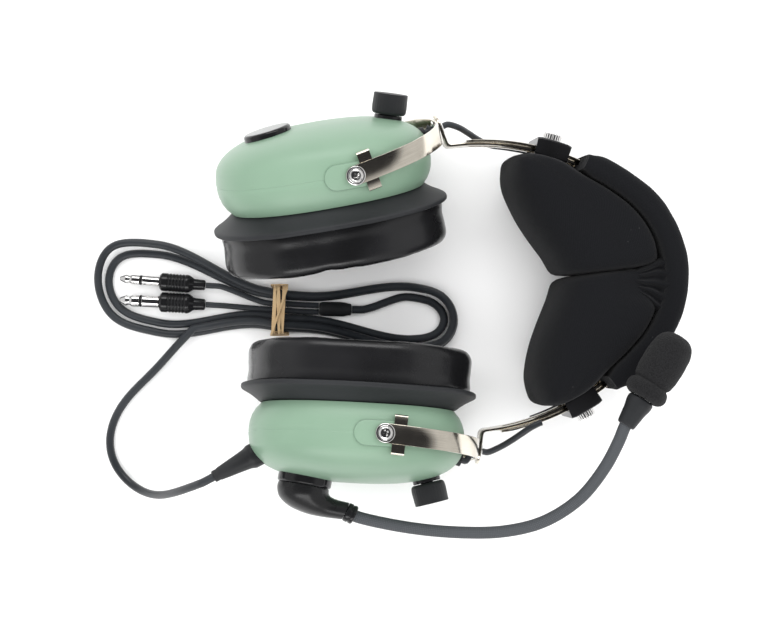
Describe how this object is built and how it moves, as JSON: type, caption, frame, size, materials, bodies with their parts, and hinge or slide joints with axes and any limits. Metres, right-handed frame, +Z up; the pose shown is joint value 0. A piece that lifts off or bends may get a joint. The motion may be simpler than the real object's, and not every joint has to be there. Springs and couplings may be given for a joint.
{
  "type": "aviation headset",
  "caption": "Aviation headset with oval ear domes in sprung yokes, a padded headband with sliding straps, a flexible boom microphone and a cord wound into a tied hank.",
  "frame": {"origin": "centre of the footprint of the headset without its cord, on the plane it lies on", "axes": "+X from the ear domes to the crown of the headband, +Y to the right ear, +Z up, towards the front of the head"},
  "size_m": [0.303, 0.223, 0.0984],
  "materials": {
    "green_shell": "satin",
    "bright_steel": "brushed",
    "black_cloth": "cloth",
    "black_vinyl": "glossy",
    "black_foam": "matte foam",
    "black_rubber": "matte",
    "tan_rubber": "matte",
    "dark_cable": "satin",
    "black_plastic": "satin"
  },
  "bodies": {
    "left_cup": {"left_dome": "green_shell", "left_seal_flange": "black_rubber", "left_seal_cushion": "black_vinyl", "left_filter_foam": "black_foam", "left_dome_liner": "black_foam", "left_receiver": "black_plastic", "left_pivot_screw_front": "bright_steel", "left_pivot_screw_back": "bright_steel", "left_volume_control": "black_plastic", "left_lead_grommet": "black_rubber", "boom_mount": "black_plastic", "cord_strain_relief": "black_rubber", "main_cord": "dark_cable", "cord_hank": "dark_cable", "cord_tie": "tan_rubber", "cord_junction": "black_rubber", "phone_lead": "dark_cable", "mic_lead": "dark_cable", "phone_plug_body": "black_plastic", "phone_plug_pin": "bright_steel", "mic_plug_body": "black_plastic", "mic_plug_pin": "bright_steel"},
    "left_volume": {"left_volume_knob": "black_rubber"},
    "boom": {"boom_elbow": "black_rubber", "boom_collar": "bright_steel", "mic_boom": "dark_cable", "mic_boot": "black_rubber", "microphone": "black_plastic", "mic_muff": "black_foam"},
    "left_yoke": {"left_stirrup": "bright_steel"},
    "left_slider": {"left_strap": "bright_steel", "left_swivel_eyelet": "bright_steel", "left_crossover_lead": "dark_cable"},
    "headband": {"headband_front_band": "bright_steel", "headband_rear_band": "bright_steel", "head_pad_sleeve": "black_cloth", "head_pad_left": "black_cloth", "head_pad_right": "black_cloth", "crossover_cord": "dark_cable", "left_clamp_block": "black_plastic", "right_clamp_block": "black_plastic"},
    "left_thumb": {"left_thumb_screw": "bright_steel"},
    "right_thumb": {"right_thumb_screw": "bright_steel"},
    "right_slider": {"right_strap": "bright_steel", "right_swivel_eyelet": "bright_steel", "right_crossover_lead": "dark_cable"},
    "right_yoke": {"right_stirrup": "bright_steel"},
    "right_cup": {"right_dome": "green_shell", "right_seal_flange": "black_rubber", "right_seal_cushion": "black_vinyl", "right_filter_foam": "black_foam", "right_dome_liner": "black_foam", "right_receiver": "black_plastic", "right_pivot_screw_front": "bright_steel", "right_pivot_screw_back": "bright_steel", "right_volume_control": "black_plastic", "right_lead_grommet": "black_rubber", "right_mount_cap": "black_plastic"},
    "right_volume": {"right_volume_knob": "black_rubber"}
  },
  "joints": [
    {"name": "left_tilt", "type": "hinge", "parent": "left_cup", "child": "left_yoke", "pos_m": [-0.03698, -0.06231, 0.04893], "axis": [-0.1173, -0.12, -0.9858], "range_deg": [-12, 8], "deforming": ["left_crossover_lead"]},
    {"name": "left_swivel", "type": "hinge", "parent": "left_yoke", "child": "left_slider", "pos_m": [0.01529, -0.06922, 0.04356], "axis": [0.9862, -0.1305, -0.1015], "range_deg": [-8, 8], "deforming": ["left_crossover_lead"]},
    {"name": "left_slide", "type": "hinge", "parent": "left_slider", "child": "headband", "pos_m": [0.00506, 0.06228, 0.04472], "axis": [0.1023, -0.0008, 0.9948], "range_deg": [-3, 6], "deforming": ["left_crossover_lead"]},
    {"name": "right_slide", "type": "hinge", "parent": "headband", "child": "right_slider", "pos_m": [0.01711, -0.03644, 0.0434], "axis": [0.1023, -0.0008, 0.9948], "range_deg": [-3, 6], "deforming": ["right_crossover_lead"]},
    {"name": "right_swivel", "type": "hinge", "parent": "right_slider", "child": "right_yoke", "pos_m": [-0.0046, 0.09364, 0.04574], "axis": [0.9256, 0.3665, -0.0948], "range_deg": [-32, 12], "deforming": ["right_crossover_lead"]},
    {"name": "right_tilt", "type": "hinge", "parent": "right_yoke", "child": "right_cup", "pos_m": [-0.05365, 0.07421, 0.05076], "axis": [0.1758, -0.1943, 0.9651], "range_deg": [-1, 19], "deforming": ["right_crossover_lead"]},
    {"name": "boom_swing", "type": "hinge", "parent": "left_cup", "child": "boom", "pos_m": [-0.07229, -0.08569, 0.05598], "axis": [-0.1749, -0.9747, 0.1395], "range_deg": [0, 170]},
    {"name": "left_volume_turn", "type": "hinge", "parent": "left_cup", "child": "left_volume", "pos_m": [-0.01108, -0.08316, 0.04839], "axis": [0.2376, -0.9672, 0.0895], "range_deg": [-150, 150]},
    {"name": "right_volume_turn", "type": "hinge", "parent": "right_cup", "child": "right_volume", "pos_m": [-0.03035, 0.09794, 0.05129], "axis": [0.1296, 0.9764, 0.1729], "range_deg": [-150, 150]},
    {"name": "left_thumb_turn", "type": "hinge", "parent": "headband", "child": "left_thumb", "pos_m": [0.06623, -0.04424, 0.03834], "axis": [0.4973, -0.866, -0.0518], "range_deg": [-180, 180]},
    {"name": "right_thumb_turn", "type": "hinge", "parent": "headband", "child": "right_thumb", "pos_m": [0.05085, 0.08179, 0.04003], "axis": [0.2742, 0.9613, -0.0274], "range_deg": [-180, 180]}
  ]
}
